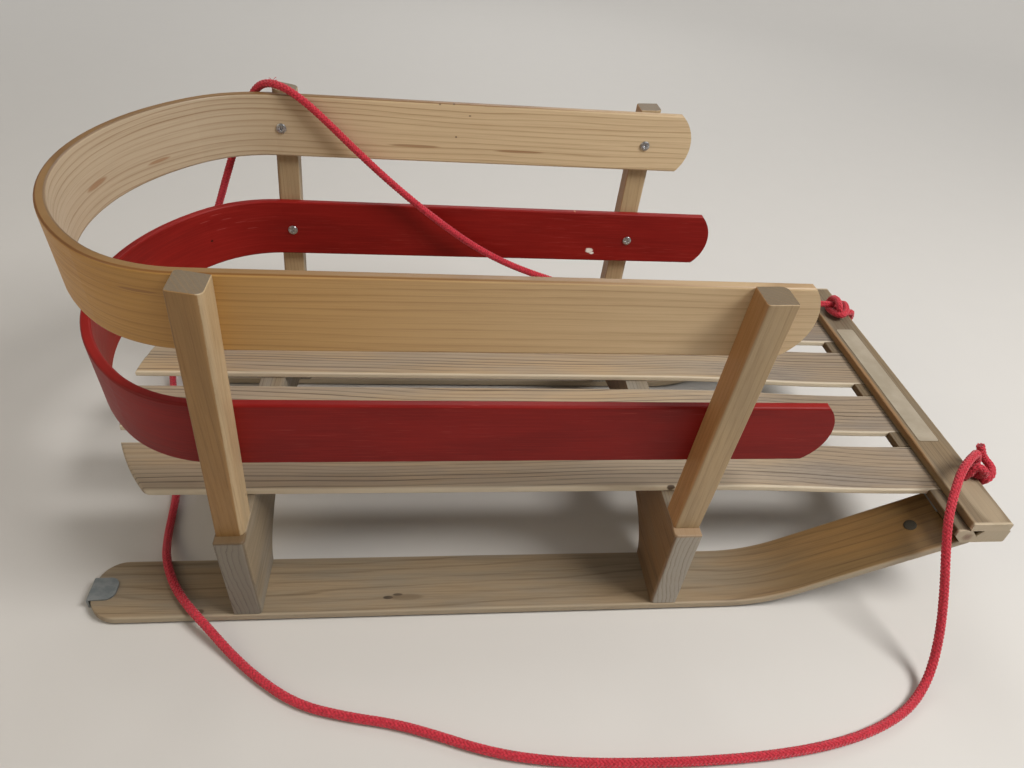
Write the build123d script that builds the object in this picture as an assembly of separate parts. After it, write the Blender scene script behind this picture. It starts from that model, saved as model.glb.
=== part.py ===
from build123d import *
from math import atan2, cos, degrees, pi, radians, sqrt, tan
import os

# A child's bentwood pull sleigh: two steel-shod skis, two arched bolsters, four posts,
# a slatted deck, two bent rails round the seat, a nose bar, a tow bar and a pull rope.
# Forward is +X, the sleigh's left is +Y, and +Z is up from the floor it stands on.
# Distances along the sleigh are counted from the heel, its rearmost point.

# Skis: flat boards of bent wood, with a straight rising run at the front.
SKI_WIDTH = 52.6
SKI_THICK = 7.0
SKI_MIDDLE = 143.7          # from the centre plane to the middle of each ski
SKI_BEND = 535.5            # where the level and the rising top would meet in a corner
SKI_BEND_RADIUS = 125.0     # on the top, inside the bend
SKI_RISE = 27.9             # degrees
SKI_HEEL_INNER = 20.0       # corner rounds of the heel, seen from above
SKI_HEEL_OUTER = 24.0
SKI_TIP_LENGTH = 10.5       # of the flat seat that is planed on the tip
SKI_EASE = 1.5

# Runners: steel strips under the skis, turned over both ends.
RUNNER_WIDTH = 20.0
RUNNER_THICK = 1.5
RUNNER_HEEL_MIDDLE = 144.2  # they run a little closer together towards the front
RUNNER_TIP_MIDDLE = 128.6
RUNNER_TONGUE = 18.5        # turned over onto the top of the heel
RUNNER_TONGUE_ROUND = 7.5

# Bolsters: arched boards on edge across both skis, a little longer at the top.
BOLSTER_REAR = 122.6
BOLSTER_FRONT = 450.6
BOLSTER_THICK = 21.0
BOLSTER_HEIGHT = 89.0
BOLSTER_OVERHANG = 2.0      # of its top, beyond the outer edge of the ski
ARCH_HEIGHT = 50.0
BOLSTER_EASE = 1.0
BOLSTER_WORN = 3.0          # round of the two upright edges that have worn most

# Posts: on the bolsters, leaning outward and a little forward.
POST_LENGTH_WAY = 19.4      # section along the sleigh
POST_CROSS_REAR = 21.4      # section across the sleigh
POST_CROSS_FRONT = 20.4
POST_HEIGHT = 201.6
POST_STEP = 27.6            # from the bolster's end to the post's inner face, at the foot
POST_SPLAY = 1.65           # degrees outward
POST_LEAN_REAR = 10.1       # forward at the top
POST_LEAN_FRONT = 7.2
POST_ROUNDS_REAR = (1.5, 5.0, 0.8, 3.0)   # outer rear, outer front, inner front, inner rear
POST_ROUNDS_FRONT = (2.5, 0.8, 5.0, 0.8)
POST_TOP_EASE = 0.4
POST_TOP_SLOPE_REAR = 9.0   # degrees, down towards the front
POST_TOP_SLOPE_FRONT = -2.0
POST_SPARE = 1.1            # how many times too long it is drawn before its top is cut

# Rails: bent strips inside the posts, round the back of the seat.
RAIL_THICK = 7.0
RAIL_CORNER_RADIUS = 93.0
RAIL_BACK_RADIUS = 168.0
RAIL_BACK = 6.5             # from the heel to the back of each rail's lower edge
RAIL_EASE = 1.8
RAIL_SPARE = 2.0            # drawn below the lower edge, and cut off along a slope
UPPER_RAIL_LOW = 244.5      # lower edge at the heel
UPPER_RAIL_SLOPE = 0.185    # degrees, by which the lower edge rises forward
UPPER_RAIL_HEIGHT = 53.5    # at the heel
LOWER_RAIL_LOW = 147.8
LOWER_RAIL_SLOPE = 0.285
LOWER_RAIL_HEIGHT = 53.7
# Their rounded front ends, right then left: from the heel, middle above the low edge, radius.
UPPER_RAIL_ENDS = ((494.8, 31.2, 33.6), (498.3, 26.7, 35.0))
LOWER_RAIL_ENDS = ((542.7, 30.7, 32.5), (538.6, 29.3, 33.9))

# Slats: the deck, let into the nose bar at the front.
SLAT_COUNT = 4
SLAT_WIDTH = 50.6
SLAT_GAP = 17.9
SLAT_THICK = 6.0
SLAT_EASE = 1.8
SLAT_LEVEL_BEYOND = 22.0    # level run in front of the front bolster's middle
SLAT_TONGUE = 22.0          # length let into the nose bar
DECK_BACK = 8.5             # from the heel to the back of the rounded deck
DECK_BACK_RADIUS = 196.0
DECK_CORNER = 9.0           # round of the deck's two outer rear corners

# Nose bar across the ski tips, and the tow bar that clamps the slats on it.
NOSE_BACK = 667.5
NOSE_WIDTH = 44.2
NOSE_THICK = 13.4
NOSE_BEVEL_RUN = 7.0        # undercut at the lower back edge, up to the ski's seat
NOSE_BEVEL_RISE = 7.5
NOSE_CHIP_BACK = 12.0       # three-cornered chip in the right end, under the tow bar
NOSE_CHIP_RUN = 10.0
NOSE_CHIP_POINT = 6.0       # from its back to its lowest point
NOSE_CHIP_DEEP = 6.6
TOW_BACK = 9.6              # behind which the nose bar's top is bare
TOW_WIDTH = 33.1
TOW_THICK = 7.5
BAR_OVERHANG = 1.6          # beyond the outer edge of the ski
BAR_EASE = 1.5

# Rope: braided, through a hole near each end of the bars, and knotted on top.
ROPE_DIAMETER = 6.6
ROPE_HOLE = 9.0
ROPE_HOLE_FORWARD = 19.5    # from the tow bar's back edge
ROPE_HOLE_MIDDLE = 121.5    # from the centre plane
ROPE_CLEAR = 0.5            # between the hitch and the bars it goes round
KNOT_LONG = 22.0
KNOT_WIDE = 20.0
KNOT_HIGH = 17.0            # as it stands on the tow bar
KNOT_FLAT = 1.5             # how much of its underside is pressed flat
KNOT_FORWARD = 3.0          # its middle lies this far in front of the hole
STRAND_BEND = 4.5           # tight turns of the hitch round the bars

# Worked out from the driving dimensions.
half_length = (NOSE_BACK + NOSE_WIDTH) / 2
ski_top = RUNNER_THICK + SKI_THICK
ski_outside = SKI_MIDDLE + SKI_WIDTH / 2
ski_inside = SKI_MIDDLE - SKI_WIDTH / 2
bolster_top = ski_top + BOLSTER_HEIGHT
bolster_end = ski_outside + BOLSTER_OVERHANG
post_inside = bolster_end - POST_STEP
deck_top = bolster_top + SLAT_THICK
bar_end = ski_outside + BAR_OVERHANG
seat_back = NOSE_BACK + NOSE_BEVEL_RUN
seat_height = ski_top + (seat_back - SKI_BEND) * tan(radians(SKI_RISE))
nose_base = seat_height + RUNNER_THICK
nose_top = nose_base + NOSE_THICK
tow_top = nose_top + TOW_THICK
wide = 1000.0               # a cutting shape's size, beyond the whole sleigh


def along(from_heel):
    """Turn a distance from the heel into x, with the middle of the sleigh at zero."""
    return from_heel - half_length


def nearest(vertices, first, second):
    """Pick the vertex of a flat drawing nearest to a point."""
    return vertices.sort_by_distance((first, second, 0))[0]


def across(profile, y_from, y_to):
    """Extrude a side profile, drawn as x and z, from one y to another."""
    upright = Plane.XZ * profile
    return Pos(0, y_to, 0) * extrude(upright, y_to - y_from)


def rims(board, front):
    """The edges round a board's upper and lower faces, but for those at or beyond a front end."""
    behind = board.edges().filter_by(lambda edge: edge.center().X < front - 1)
    return behind.filter_by(lambda edge: abs(edge.tangent_at(0.5).Z) < 0.9)


def ski_profile():
    """Side view of a ski: level board, bend, rising run and planed seat at the tip."""
    rise = radians(SKI_RISE)
    heel = along(RUNNER_THICK)
    tip = along(seat_back + SKI_TIP_LENGTH)
    corner_below = along(SKI_BEND) + SKI_THICK * tan(rise / 2)
    tip_above = ski_top + (seat_back + SKI_TIP_LENGTH - SKI_BEND) * tan(rise)
    tip_below = tip_above - SKI_THICK / cos(rise)
    outline = Polyline(
        (heel, RUNNER_THICK),
        (corner_below, RUNNER_THICK),
        (tip, tip_below),
        (tip, seat_height),
        (along(seat_back), seat_height),
        (along(SKI_BEND), ski_top),
        (heel, ski_top),
        close=True,
    )
    profile = make_face(outline)
    profile = fillet(nearest(profile.vertices(), along(SKI_BEND), ski_top), SKI_BEND_RADIUS)
    below = nearest(profile.vertices(), corner_below, RUNNER_THICK)
    return fillet(below, SKI_BEND_RADIUS + SKI_THICK)


def ski(side):
    """One ski; side is -1 for the right and 1 for the left."""
    heel = along(RUNNER_THICK)
    plan = Pos(heel + wide / 2, side * SKI_MIDDLE) * Rectangle(wide, SKI_WIDTH)
    plan = fillet(nearest(plan.vertices(), heel, side * ski_inside), SKI_HEEL_INNER)
    plan = fillet(nearest(plan.vertices(), heel, side * ski_outside), SKI_HEEL_OUTER)
    board = across(ski_profile(), -wide, wide) & extrude(plan, wide)
    return fillet(rims(board, along(seat_back)), SKI_EASE)


def runner(side):
    """One steel strip: a band round the ski's side view, cut to the strip's own plan."""
    board = ski_profile()
    band = offset(board, RUNNER_THICK) - board
    tongue_end = along(RUNNER_THICK + RUNNER_TONGUE)
    bare_middle = (tongue_end + along(seat_back)) / 2
    bare_length = along(seat_back) - tongue_end
    bare_top = Pos(0, 2 * RUNNER_THICK) * board & Pos(bare_middle, 0) * Rectangle(bare_length, wide)
    strip = across(band - bare_top, -wide, wide)
    heel_y, tip_y, half = side * RUNNER_HEEL_MIDDLE, side * RUNNER_TIP_MIDDLE, RUNNER_WIDTH / 2
    back, front = along(0) - 1, along(seat_back + SKI_TIP_LENGTH) + 2 * RUNNER_THICK
    plan = Polyline(
        (back, heel_y - half),
        (front, tip_y - half),
        (front, tip_y + half),
        (back, heel_y + half),
        close=True,
    )
    strip = strip & extrude(make_face(plan), wide)
    corners = strip.edges().filter_by(lambda edge: abs(edge.center().X - tongue_end) < 0.01)
    corners = corners.filter_by(Axis.Z).filter_by(lambda edge: edge.center().Z > ski_top)
    return fillet(corners, RUNNER_TONGUE_ROUND)


def end_edges(board, beyond, way):
    """The upright edges of a bolster's ends that face back (way is -1) or forward (1)."""
    outer = board.edges().filter_by(lambda edge: abs(edge.center().Y) > beyond)
    upright = outer.filter_by(lambda edge: abs(edge.tangent_at(0.5).Z) > 0.9)
    return upright.filter_by(lambda edge: edge.center().X * way > 0)


def bolster(middle, worn):
    """An arched board across the skis; worn is -1 or 1 for its rounder end edges, rear or front."""
    foot_end = bolster_end - BOLSTER_HEIGHT * tan(radians(POST_SPLAY))
    outline = Polyline(
        (-foot_end, 0),
        (foot_end, 0),
        (bolster_end, BOLSTER_HEIGHT),
        (-bolster_end, BOLSTER_HEIGHT),
        close=True,
    )
    board = make_face(outline) - Ellipse(ski_inside, ARCH_HEIGHT)
    solid = extrude(Plane.YZ * board, BOLSTER_THICK / 2, both=True)
    solid = fillet(end_edges(solid, foot_end, worn), BOLSTER_WORN)
    top = solid.faces().sort_by(Axis.Z)[-1].edges()
    arch = solid.edges().filter_by(GeomType.ELLIPSE)
    solid = fillet(end_edges(solid, foot_end, -worn) + top + arch, BOLSTER_EASE)
    return Pos(along(middle), 0, ski_top) * solid


def post(middle, side, cross, rounds, lean, slope):
    """A post whose level sections are all alike, with a sloping top and a round on each edge."""
    back, front = -POST_LENGTH_WAY / 2, POST_LENGTH_WAY / 2
    section = Pos(0, side * cross / 2) * Rectangle(POST_LENGTH_WAY, cross)
    corners = [(back, side * cross), (front, side * cross), (front, 0), (back, 0)]
    for corner, radius in zip(corners, rounds):
        section = fillet(nearest(section.vertices(), *corner), radius)
    outward = side * POST_HEIGHT * tan(radians(POST_SPLAY))
    way = Vector(lean, outward, POST_HEIGHT)
    shaft = extrude(section, way.length * POST_SPARE, dir=way)
    above = Pos(0, 0, wide / 2) * Box(wide, wide, wide)
    shaft -= Pos(lean, outward, POST_HEIGHT) * Rot(0, slope, 0) * above
    top = shaft.faces().sort_by(Axis.Z)[-1]
    shaft = chamfer(top.edges(), POST_TOP_EASE)
    return Pos(along(middle), side * post_inside, bolster_top) * shaft


def rail_plan(inset, half_width):
    """Plan of a rail's outer face, or of its inner one when inset by the thickness."""
    side_y = half_width - inset
    corner = RAIL_CORNER_RADIUS - inset
    back = RAIL_BACK_RADIUS - inset
    back_centre = along(RAIL_BACK) + RAIL_BACK_RADIUS
    corner_y = half_width - RAIL_CORNER_RADIUS
    reach = RAIL_BACK_RADIUS - RAIL_CORNER_RADIUS
    corner_x = back_centre - sqrt(reach**2 - corner_y**2)
    turn = degrees(atan2(corner_y, back_centre - corner_x))
    lines = [
        Line((wide, -side_y), (corner_x, -side_y)),
        CenterArc((corner_x, -corner_y), corner, 270, -(90 - turn)),
        CenterArc((back_centre, 0), back, 180 + turn, -2 * turn),
        CenterArc((corner_x, corner_y), corner, 180 - turn, -(90 - turn)),
        Line((corner_x, side_y), (wide, side_y)),
        Line((wide, side_y), (wide, -side_y)),
    ]
    return make_face(lines)


def rail(low, slope, height, ends):
    """A bent rail, leaning outward with the posts, with a sloping lower edge and two rounded ends."""
    base = low - RAIL_SPARE
    half_width = post_inside + (base - bolster_top) * tan(radians(POST_SPLAY))
    outer = extrude(rail_plan(0, half_width), height + RAIL_SPARE, taper=-POST_SPLAY)
    inner = extrude(rail_plan(RAIL_THICK, half_width), height + RAIL_SPARE, taper=-POST_SPLAY)
    band = Pos(0, 0, base) * (outer - inner)
    below = Pos(0, 0, -wide / 2) * Box(2 * wide, wide, wide)
    band -= Pos(along(0), 0, low) * Rot(0, -slope, 0) * below
    for (front, middle, radius), (y_from, y_to) in zip(ends, [(-wide, 0), (0, wide)]):
        centre = (along(front) - radius, low + middle)
        beyond = Pos(*centre) * (Pos(wide / 2, 0) * Rectangle(wide, wide) - Circle(radius))
        band -= across(beyond, y_from, y_to)
    faces = band.faces().sort_by(Axis.Z)
    return fillet(faces[-1].edges() + faces[0].edges(), RAIL_EASE)


def slat(number):
    """A deck slat, counted from the right: level, then eased down into the nose bar."""
    pitch = SLAT_WIDTH + SLAT_GAP
    middle = (number - (SLAT_COUNT - 1) / 2) * pitch
    level_end, low_start = along(BOLSTER_FRONT + SLAT_LEVEL_BEYOND), along(NOSE_BACK)
    tip = along(NOSE_BACK + SLAT_TONGUE)
    half_way = ((level_end + low_start) / 2, (deck_top + nose_top) / 2)
    back = -wide
    first = TangentArc((level_end, deck_top), half_way, tangent=(1, 0))
    second = TangentArc(half_way, (low_start, nose_top), tangent=first % 1)
    upper = [first, second]
    lower = [Pos(0, -SLAT_THICK) * line for line in upper]
    ends = [
        Line((back, deck_top), (level_end, deck_top)),
        Line((low_start, nose_top), (tip, nose_top)),
        Line((tip, nose_top), (tip, nose_top - SLAT_THICK)),
        Line((tip, nose_top - SLAT_THICK), (low_start, nose_top - SLAT_THICK)),
        Line((level_end, deck_top - SLAT_THICK), (back, deck_top - SLAT_THICK)),
        Line((back, deck_top - SLAT_THICK), (back, deck_top)),
    ]
    board = across(make_face(upper + lower + ends), middle - SLAT_WIDTH / 2, middle + SLAT_WIDTH / 2)
    round_centre = along(DECK_BACK) + DECK_BACK_RADIUS
    deck = Pos(round_centre, 0) * Circle(DECK_BACK_RADIUS)
    deck += Pos(round_centre + wide / 2, 0) * Rectangle(wide, 2 * DECK_BACK_RADIUS)
    board = board & extrude(deck, wide)
    if number in (0, SLAT_COUNT - 1):
        outer = board.edges().filter_by(Axis.Z).sort_by(lambda edge: abs(edge.center().Y))[-2:]
        board = fillet(outer.sort_by(Axis.X)[0], DECK_CORNER)
    return fillet(rims(board, tip), SLAT_EASE)


def bar(back, base, width, thick):
    """A bar across the front with eased long edges."""
    section = Pos(back + width / 2, base + thick / 2) * RectangleRounded(width, thick, BAR_EASE)
    return across(section, -bar_end, bar_end)


def rope_holes():
    """The two upright holes for the rope, through both bars."""
    hole_x = along(NOSE_BACK + TOW_BACK + ROPE_HOLE_FORWARD)
    hole = Cylinder(ROPE_HOLE / 2, wide)
    return Pos(hole_x, ROPE_HOLE_MIDDLE, 0) * hole + Pos(hole_x, -ROPE_HOLE_MIDDLE, 0) * hole


def nose_bar():
    """The bar on the ski tips, with a pocket for each slat."""
    back = along(NOSE_BACK)
    solid = bar(back, nose_base, NOSE_WIDTH, NOSE_THICK)
    bevel = Polyline(
        (back, nose_base),
        (back + NOSE_BEVEL_RUN, nose_base),
        (back, nose_base + NOSE_BEVEL_RISE),
        close=True,
    )
    solid -= across(make_face(bevel), -wide, wide)
    pocket = Pos(back + SLAT_TONGUE - wide / 2, 0, nose_top + wide / 2 - SLAT_THICK)
    pocket *= Box(wide, SLAT_WIDTH, wide)
    for number in range(SLAT_COUNT):
        solid -= Pos(0, (number - (SLAT_COUNT - 1) / 2) * (SLAT_WIDTH + SLAT_GAP), 0) * pocket
    chip_back = back + NOSE_CHIP_BACK
    chip = Polyline(
        (chip_back, nose_top),
        (chip_back + NOSE_CHIP_RUN, nose_top),
        (chip_back + NOSE_CHIP_POINT, nose_top - NOSE_CHIP_DEEP),
        close=True,
    )
    solid -= across(make_face(chip), -bar_end, -bar_end + NOSE_CHIP_DEEP)
    return solid - rope_holes()


def tow_bar():
    """The thinner bar on top, over the slats' tongues."""
    return bar(along(NOSE_BACK + TOW_BACK), nose_top, TOW_WIDTH, TOW_THICK) - rope_holes()


# The rope's route, from the right knot over the bar, round on the floor, over the right ski,
# under the deck, round the left heel, up over the upper rail, and along the deck to the left knot.
ROPE_ROUTE = [
    (344, -117, 125.5),
    (334, -124, 127),
    (323, -134, 122.3),
    (311.5, -150, 114),
    (302.5, -166, 103),
    (299, -184, 85),
    (298.5, -200, 65),
    (297.5, -219, 38),
    (292, -237, 13),
    (278, -252, 3.8),
    (257, -266, 3.4),
    (226, -278, 3.4),
    (190, -286, 3.4),
    (148, -290.5, 3.4),
    (104, -292, 3.4),
    (57, -291.5, 3.4),
    (7, -289, 3.4),
    (-33, -283.5, 3.4),
    (-62, -276, 3.4),
    (-89, -266, 3.4),
    (-118, -256.5, 3.4),
    (-152, -250, 3.4),
    (-187, -240, 3.4),
    (-217, -220, 3.4),
    (-241, -199, 4.4),
    (-260, -181, 10.4),
    (-276, -166, 13.4),
    (-290, -149, 12.6),
    (-300, -132, 12.7),
    (-307, -115, 12.4),
    (-312, -99, 6.6),
    (-316, -79, 3.4),
    (-319.5, -45, 3.4),
    (-327, -4, 3.4),
    (-340, 39, 3.4),
    (-353, 80, 3.4),
    (-364, 113, 4.2),
    (-368.5, 135, 13),
    (-367, 148, 34),
    (-356, 155, 66),
    (-338, 157, 104),
    (-318, 157, 143),
    (-298.5, 156.5, 182),
    (-281.5, 156, 224),
    (-264.5, 155.5, 264),
    (-252, 155, 291),
    (-242.5, 151, 303),
    (-231.5, 146.5, 306.5),
    (-218.5, 141, 304),
    (-204.5, 138, 295.5),
    (-188, 136, 281),
    (-163, 134, 256),
    (-131, 132, 226),
    (-92, 130, 194),
    (-56, 128.5, 168.5),
    (-26, 127.5, 152.5),
    (2, 126.5, 141.5),
    (35, 124.5, 131.5),
    (72, 121.5, 121),
    (112, 119.5, 113),
    (157, 118, 107.6),
    (202, 118, 104.2),
    (240, 119.5, 102.4),
    (272, 122, 102.2),
    (292, 124, 105.5),
    (308, 125.5, 110.8),
    (321, 125.8, 113.6),
    (334.5, 124, 113.4),
]
# At the right knot the rope rises in a short arch, and the cut end stands up in front.
RIGHT_ARCH = [(346, -121, 111), (356, -110.5, 117), (350, -112.8, 124.6), ROPE_ROUTE[0]]
RIGHT_TAIL = [(348, -121, 112), (361, -118.5, 111.5), (362.5, -111, 116), (358, -104, 124)]


def rope_radii(route):
    """Bend radii: 0.45 of the shorter run over the tangent of half the turn."""
    points = [Vector(*point) for point in route]
    radii = []
    for before, here, after in zip(points, points[1:], points[2:]):
        turn = (here - before).get_angle(after - here)
        shorter = min((here - before).length, (after - here).length)
        radii.append(0.45 * shorter / tan(radians(turn / 2)))
    return radii


def strand(path):
    """A length of the rope along a path."""
    return sweep(Plane(path @ 0, z_dir=path % 0) * Circle(ROPE_DIAMETER / 2), path)


def rope():
    """The free rope, from knot to knot."""
    radii = rope_radii(ROPE_ROUTE)
    path = FilletPolyline(*ROPE_ROUTE, radius=radii)
    solid = strand(path)
    filled = solid.volume / (pi * (ROPE_DIAMETER / 2) ** 2 * path.length)
    print("rope bend radii", [round(radius) for radius in radii])
    print("rope length", round(path.length, 1), "volume over section times length", round(filled, 4))
    return solid


def hitch(side):
    """The rope's end: down the hole, under the bars, up in front of them and into the knot."""
    hole_x, y = along(NOSE_BACK + TOW_BACK + ROPE_HOLE_FORWARD), side * ROPE_HOLE_MIDDLE
    gap = ROPE_DIAMETER / 2 + ROPE_CLEAR
    front = along(NOSE_BACK + NOSE_WIDTH) + gap
    path = FilletPolyline(
        (hole_x, y, tow_top + KNOT_HIGH / 2),
        (hole_x, y, nose_base - gap),
        (front, y, nose_base - gap),
        (front, y, tow_top + gap),
        (hole_x + KNOT_FORWARD, y, tow_top + KNOT_HIGH / 2),
        radius=STRAND_BEND,
    )
    return strand(path)


def knot(side, rope_end, rope_next, ends):
    """A knot on the tow bar: its outer shape, hitch and short ends, flat where the rope meets it."""
    middle_x = along(NOSE_BACK + TOW_BACK + ROPE_HOLE_FORWARD) + KNOT_FORWARD
    y = side * ROPE_HOLE_MIDDLE
    radii = (KNOT_LONG / 2, KNOT_WIDE / 2, (KNOT_HIGH + KNOT_FLAT) / 2)
    lump = Pos(middle_x, y, tow_top + KNOT_HIGH - radii[2]) * scale(Sphere(1), radii)
    lump -= Pos(0, 0, tow_top - wide / 2) * Box(wide, wide, wide)
    solid = lump + hitch(side)
    for points in ends:
        solid += strand(FilletPolyline(*points, radius=STRAND_BEND))
    leaving = Vector(*rope_next) - Vector(*rope_end)
    beyond = Pos(0, 0, ROPE_DIAMETER / 2) * Cylinder(ROPE_DIAMETER, ROPE_DIAMETER)
    return solid - Plane(rope_end, z_dir=leaving) * beyond


def export(name, solid):
    """Write one sub-part."""
    export_step(solid, os.path.join("parts", name + ".step"))


SIDES = {"right": -1, "left": 1}
REAR_POST = (POST_CROSS_REAR, POST_ROUNDS_REAR, POST_LEAN_REAR, POST_TOP_SLOPE_REAR)
FRONT_POST = (POST_CROSS_FRONT, POST_ROUNDS_FRONT, POST_LEAN_FRONT, POST_TOP_SLOPE_FRONT)

os.makedirs("parts", exist_ok=True)
for name, side in SIDES.items():
    export("ski_" + name, ski(side))
    export("runner_" + name, runner(side))
    export("post_rear_" + name, post(BOLSTER_REAR, side, *REAR_POST))
    export("post_front_" + name, post(BOLSTER_FRONT, side, *FRONT_POST))
export("bolster_rear", bolster(BOLSTER_REAR, 1))
export("bolster_front", bolster(BOLSTER_FRONT, -1))
export("rail_upper", rail(UPPER_RAIL_LOW, UPPER_RAIL_SLOPE, UPPER_RAIL_HEIGHT, UPPER_RAIL_ENDS))
export("rail_lower", rail(LOWER_RAIL_LOW, LOWER_RAIL_SLOPE, LOWER_RAIL_HEIGHT, LOWER_RAIL_ENDS))
for number in range(SLAT_COUNT):
    export("slat_" + str(number + 1), slat(number))
export("nose_bar", nose_bar())
export("tow_bar", tow_bar())
export("rope", rope())
export("knot_right", knot(-1, ROPE_ROUTE[0], ROPE_ROUTE[1], [RIGHT_ARCH, RIGHT_TAIL]))
export("knot_left", knot(1, ROPE_ROUTE[-1], ROPE_ROUTE[-2], []))
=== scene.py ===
"""The looks of a child's wooden pull sleigh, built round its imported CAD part.

Lengths are metres in the part's own frame: +X is forward, +Y is the sleigh's left and +Z is up.
Names that end in _MM, and all the patterns in the materials, are in millimetres.
"""

import math

import bpy
import numpy as np
from mathutils import Matrix, Vector


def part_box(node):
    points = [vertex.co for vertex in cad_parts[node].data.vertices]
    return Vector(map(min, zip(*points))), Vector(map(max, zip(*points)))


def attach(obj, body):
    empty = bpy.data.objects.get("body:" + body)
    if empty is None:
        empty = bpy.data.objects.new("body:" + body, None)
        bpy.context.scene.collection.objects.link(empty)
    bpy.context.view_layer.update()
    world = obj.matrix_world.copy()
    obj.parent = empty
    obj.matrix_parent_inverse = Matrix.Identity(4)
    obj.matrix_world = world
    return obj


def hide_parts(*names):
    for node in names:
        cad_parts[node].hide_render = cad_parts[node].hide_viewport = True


MM = 0.001

# The camera, fitted to the photograph's straight edges. Its turn is in degrees.
CAMERA_PLACE = (-0.09783, -0.49768, 0.50797)
CAMERA_TURN = (50.8375, -4.5989, -4.8472)
CAMERA_LENS = 25.274
SENSOR_WIDTH = 36.0
CLIP_START = 0.01

# The rope: the same points as ROPE_ROUTE in part.py, from the right knot to the left one.
ROPE_ROUTE_MM = [
    (344, -117, 125.5), (334, -124, 127), (323, -134, 122.3), (311.5, -150, 114),
    (302.5, -166, 103), (299, -184, 85), (298.5, -200, 65), (297.5, -219, 38),
    (292, -237, 13), (278, -252, 3.8), (257, -266, 3.4), (226, -278, 3.4),
    (190, -286, 3.4), (148, -290.5, 3.4), (104, -292, 3.4), (57, -291.5, 3.4),
    (7, -289, 3.4), (-33, -283.5, 3.4), (-62, -276, 3.4), (-89, -266, 3.4),
    (-118, -256.5, 3.4), (-152, -250, 3.4), (-187, -240, 3.4), (-217, -220, 3.4),
    (-241, -199, 4.4), (-260, -181, 10.4), (-276, -166, 13.4), (-290, -149, 12.6),
    (-300, -132, 12.7), (-307, -115, 12.4), (-312, -99, 6.6), (-316, -79, 3.4),
    (-319.5, -45, 3.4), (-327, -4, 3.4), (-340, 39, 3.4), (-353, 80, 3.4),
    (-364, 113, 4.2), (-368.5, 135, 13), (-367, 148, 34), (-356, 155, 66),
    (-338, 157, 104), (-318, 157, 143), (-298.5, 156.5, 182), (-281.5, 156, 224),
    (-264.5, 155.5, 264), (-252, 155, 291), (-242.5, 151, 303), (-231.5, 146.5, 306.5),
    (-218.5, 141, 304), (-204.5, 138, 295.5), (-188, 136, 281), (-163, 134, 256),
    (-131, 132, 226), (-92, 130, 194), (-56, 128.5, 168.5), (-26, 127.5, 152.5),
    (2, 126.5, 141.5), (35, 124.5, 131.5), (72, 121.5, 121), (112, 119.5, 113),
    (157, 118, 107.6), (202, 118, 104.2), (240, 119.5, 102.4), (272, 122, 102.2),
    (292, 124, 105.5), (308, 125.5, 110.8), (321, 125.8, 113.6), (334.5, 124, 113.4),
]
CORE_RADIUS = 0.0027
THREAD_RADIUS = 0.0002
CURVE_STEPS = 12
BEVEL_STEPS = 3

# Each end goes down a hole through the bars, under them and up in front of them.
HOLE_Y_MM = 121.5
HITCH_XZ_MM = [
    (340.75, 100), (340.75, 86), (340.75, 79.7), (347, 79.7), (353, 79.7), (359.5, 79.7),
    (359.5, 86), (359.5, 94),
]
# The right knot: the rope's own end, a turn under it, and the hitch with its cut end standing up.
RIGHT_ARCH_MM = [
    (344, -117, 125.5), (348.5, -113.5, 125), (352, -113.5, 119), (353.5, -115, 112),
    (350, -117, 107),
]
RIGHT_TURN_MM = [
    (340.75, -121.5, 100), (341.5, -122.5, 107), (344, -123.5, 111.5), (345, -122, 117),
    (349, -124.5, 118.5), (354.5, -126, 114), (355.5, -123, 107.5), (350, -119, 106),
]
RIGHT_TAIL_MM = [
    (358.5, -122.5, 101), (357.5, -126.5, 106), (362.5, -125, 109.5), (366, -118, 112),
    (363.5, -111.5, 114), (359.5, -109, 118), (356, -106, 126),
]
# The left knot: the rope's end going down, a loop over it, and the hitch coming up behind the loop.
LEFT_END_MM = [
    (334.5, 124, 113.4), (341, 126, 112.5), (344, 124.5, 108), (341, 121.5, 103),
    (340.75, 121.5, 99),
]
LEFT_LOOP_MM = [
    (341, 114, 107.8), (336.5, 108.5, 113.5), (335, 110.5, 119.5), (337, 120, 121),
    (338, 131, 118), (339.5, 137.5, 111), (336, 134, 107.8), (332.5, 124, 107.8),
    (332, 112.5, 110.5), (335.5, 105, 112), (340.5, 106, 112.5), (345, 111, 113.5),
    (347, 118, 115.5), (348, 125, 114.5), (347.5, 130.5, 110.5), (343.5, 131, 107.8),
]
LEFT_HITCH_MM = [(360, 121.5, 101), (357.5, 120, 107), (351.5, 116.5, 108.5), (345.5, 115, 107.8)]

# A few frayed threads on top of the rope where it goes over the rail.
THREADS_MM = [
    [(-229, 146.2, 309), (-228, 145.5, 310.8), (-226.5, 146, 311.4)],
    [(-230.5, 145.5, 309), (-231, 144.5, 310.6), (-232.5, 145, 310.8)],
    [(-228, 145, 309), (-226.5, 143.5, 310), (-225.5, 143, 309.8)],
]


# Small helpers for meshes and places


def metres(points_mm):
    """Points in millimetres as vectors in metres."""
    return [Vector(p) * MM for p in points_mm]


def link(obj):
    bpy.context.scene.collection.objects.link(obj)
    return obj


def mesh_object(name, points, faces, material, smooth=True):
    mesh = bpy.data.meshes.new(name)
    mesh.from_pydata([tuple(p) for p in points], [], [tuple(f) for f in faces])
    mesh.update()
    mesh.polygons.foreach_set("use_smooth", [smooth] * len(mesh.polygons))
    mesh.materials.append(material)
    return link(bpy.data.objects.new(name, mesh))


def circle(radius, around):
    """The x and y of points round a circle."""
    turns = [2 * math.pi * i / around for i in range(around)]
    return [(radius * math.cos(turn), radius * math.sin(turn)) for turn in turns]


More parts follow.
